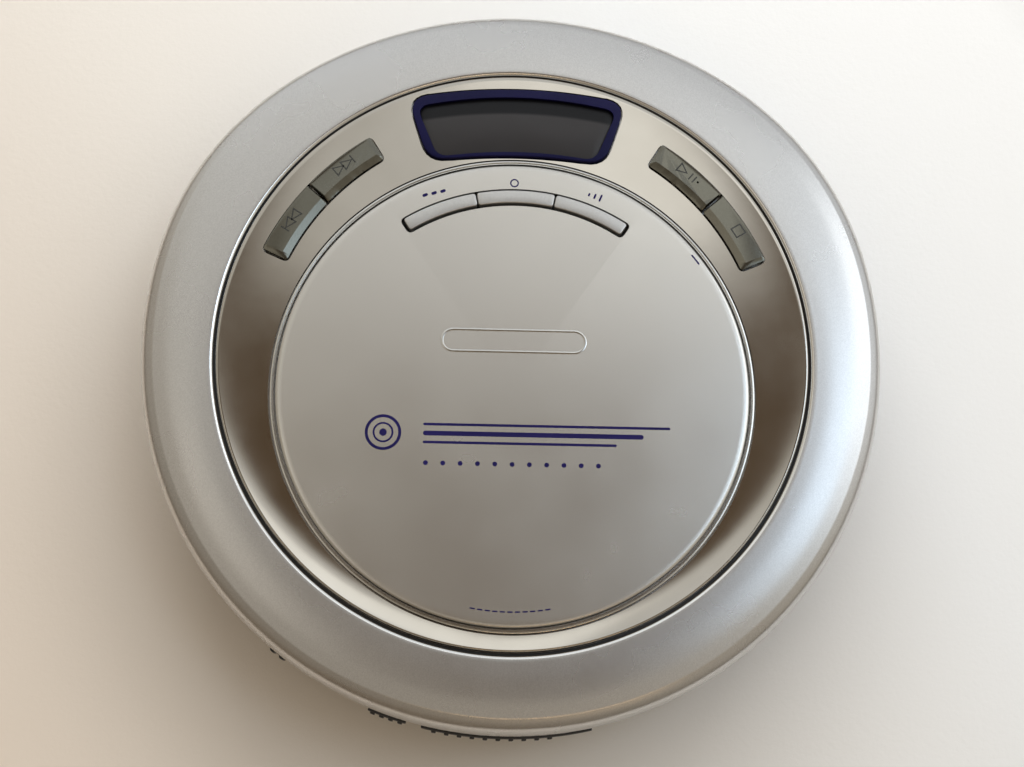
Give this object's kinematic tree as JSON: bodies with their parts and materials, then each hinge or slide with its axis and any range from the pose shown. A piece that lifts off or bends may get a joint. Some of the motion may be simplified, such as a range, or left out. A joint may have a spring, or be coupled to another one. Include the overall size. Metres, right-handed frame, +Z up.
{
  "type": "portable compact disc player",
  "caption": "Round clamshell portable disc player with a display and keys in a hinged lid over a disc well, turntable and sliding laser pickup.",
  "frame": {"origin": "centre of the footprint on the resting surface, under the spindle axis", "axes": "+Z up; -Y towards the front edge with the OPEN slide; +Y towards the lid hinge; +X to the right"},
  "size_m": [0.1412, 0.1411, 0.0307],
  "materials": {
    "silver_paint": "satin metallic silver paint on plastic, with a fine sparkle",
    "polished_ring": "polished metallic plating on plastic",
    "satin_panel": "satin brushed",
    "key_metal": "metallic grey plating",
    "button_silver": "satin metallic paint",
    "indigo_frame": "indigo, glossy",
    "smoked_window": "smoked clear plastic",
    "display_glass": "grey liquid-crystal glass",
    "dark_plastic": "fine texture",
    "control_plastic": "satin",
    "socket_plastic": "satin",
    "plated_steel": "bright plating",
    "black_plastic": "satin",
    "gear_plastic": "natural acetal",
    "rubber": "matte",
    "circuit_board": "green solder mask",
    "lens_glass": "coated, bluish",
    "felt": "felt"
  },
  "bodies": {
    "base": {"lower_case": "dark_plastic", "deck": "dark_plastic", "battery_box": "dark_plastic", "battery_contact_left": "plated_steel", "battery_contact_right": "plated_steel", "battery_spring_left": "plated_steel", "battery_spring_right": "plated_steel", "battery_door_pin": "plated_steel", "case_screw_1": "plated_steel", "case_screw_2": "plated_steel", "case_screw_3": "plated_steel", "case_screw_4": "plated_steel", "foot_1": "rubber", "foot_2": "rubber", "foot_3": "rubber", "foot_4": "rubber", "main_board": "circuit_board", "headphone_jack": "plated_steel", "line_out_jack": "socket_plastic", "dc_jack": "socket_plastic", "volume_control": "plated_steel", "drive_chassis": "plated_steel", "damper_1": "rubber", "damper_2": "rubber", "damper_3": "rubber", "spindle_motor": "plated_steel", "guide_rod": "plated_steel", "sled_motor": "black_plastic", "hinge_pin_left": "plated_steel", "hinge_pin_right": "plated_steel"},
    "lid": {"lid_shell": "silver_paint", "lid_cover": "dark_plastic", "chrome_ring": "polished_ring", "disc_bezel": "polished_ring", "disc_panel": "satin_panel", "display_frame": "indigo_frame", "display_window": "smoked_window", "lcd_panel": "display_glass", "key_board": "circuit_board", "disc_stop_ring": "felt", "latch_hook": "plated_steel"},
    "skip_back_key": {"skip_back_key": "key_metal"},
    "skip_forward_key": {"skip_forward_key": "key_metal"},
    "play_pause_key": {"play_pause_key": "key_metal"},
    "stop_key": {"stop_key": "key_metal"},
    "mode_button": {"mode_button": "button_silver"},
    "enter_button": {"enter_button": "button_silver"},
    "sound_button": {"sound_button": "button_silver"},
    "turntable": {"turntable": "dark_plastic"},
    "pickup": {"pickup_sled": "black_plastic", "objective_lens": "lens_glass"},
    "feed_screw": {"feed_screw": "plated_steel", "screw_gear": "gear_plastic"},
    "motor_pinion": {"motor_pinion": "gear_plastic"},
    "open_slider": {"open_slider": "control_plastic"},
    "hold_switch": {"hold_switch": "control_plastic"},
    "volume_wheel": {"volume_wheel": "control_plastic"},
    "lid_switch": {"lid_switch_plunger": "control_plastic"},
    "battery_door": {"battery_door": "dark_plastic"}
  },
  "joints": [
    {"name": "lid_hinge", "type": "hinge", "parent": "base", "child": "lid", "pos_m": [0, 0.0656, 0.0206], "axis": [-1, 0, 0], "range_deg": [0, 62]},
    {"name": "skip_back_key_press", "type": "slide", "parent": "lid", "child": "skip_back_key", "axis": [0, 0, -1], "range_m": [0, 0.0007], "stiffness_N_per_m": 1500},
    {"name": "skip_forward_key_press", "type": "slide", "parent": "lid", "child": "skip_forward_key", "axis": [0, 0, -1], "range_m": [0, 0.0007], "stiffness_N_per_m": 1500},
    {"name": "play_pause_key_press", "type": "slide", "parent": "lid", "child": "play_pause_key", "axis": [0, 0, -1], "range_m": [0, 0.0007], "stiffness_N_per_m": 1500},
    {"name": "stop_key_press", "type": "slide", "parent": "lid", "child": "stop_key", "axis": [0, 0, -1], "range_m": [0, 0.0007], "stiffness_N_per_m": 1500},
    {"name": "mode_button_press", "type": "slide", "parent": "lid", "child": "mode_button", "axis": [0, 0, -1], "range_m": [0, 0.0007], "stiffness_N_per_m": 1500},
    {"name": "enter_button_press", "type": "slide", "parent": "lid", "child": "enter_button", "axis": [0, 0, -1], "range_m": [0, 0.0007], "stiffness_N_per_m": 1500},
    {"name": "sound_button_press", "type": "slide", "parent": "lid", "child": "sound_button", "axis": [0, 0, -1], "range_m": [0, 0.0007], "stiffness_N_per_m": 1500},
    {"name": "turntable_spin", "type": "hinge", "parent": "base", "child": "turntable", "pos_m": [0, 0, 0.012], "axis": [0, 0, 1], "continuous": true},
    {"name": "sled_feed", "type": "slide", "parent": "base", "child": "pickup", "axis": [1, 0, 0], "range_m": [0, 0.031]},
    {"name": "feed_screw_spin", "type": "hinge", "parent": "base", "child": "feed_screw", "pos_m": [0.036, -0.011, 0.011], "axis": [1, 0, 0], "range_deg": [0, 3725]},
    {"name": "motor_pinion_spin", "type": "hinge", "parent": "base", "child": "motor_pinion", "pos_m": [0.0099, -0.0181, 0.011], "axis": [1, 0, 0], "range_deg": [-9310, 0]},
    {"name": "open_slide", "type": "hinge", "parent": "base", "child": "open_slider", "pos_m": [0, 0, 0.0171], "axis": [0, 0, 1], "range_deg": [0, 3.3], "stiffness_Nm_per_rad": 2},
    {"name": "hold_slide", "type": "hinge", "parent": "base", "child": "hold_switch", "pos_m": [0, 0, 0.0171], "axis": [0, 0, 1], "range_deg": [0, 1.6]},
    {"name": "volume_turn", "type": "hinge", "parent": "base", "child": "volume_wheel", "pos_m": [-0.03799, -0.04862, 0.0141], "axis": [0, 0, 1], "range_deg": [-150, 150]},
    {"name": "lid_switch_press", "type": "slide", "parent": "base", "child": "lid_switch", "axis": [0, 0, -1], "range_m": [0, 0.001], "stiffness_N_per_m": 300},
    {"name": "battery_door_hinge", "type": "hinge", "parent": "base", "child": "battery_door", "pos_m": [0, -0.0262, 0.00165], "axis": [1, 0, 0], "range_deg": [0, 100]}
  ],
  "couplings": [
    {"joint": "feed_screw_spin", "follows": "sled_feed", "rad_per_m": 2094.4},
    {"joint": "motor_pinion_spin", "follows": "sled_feed", "rad_per_m": -5236}
  ]
}
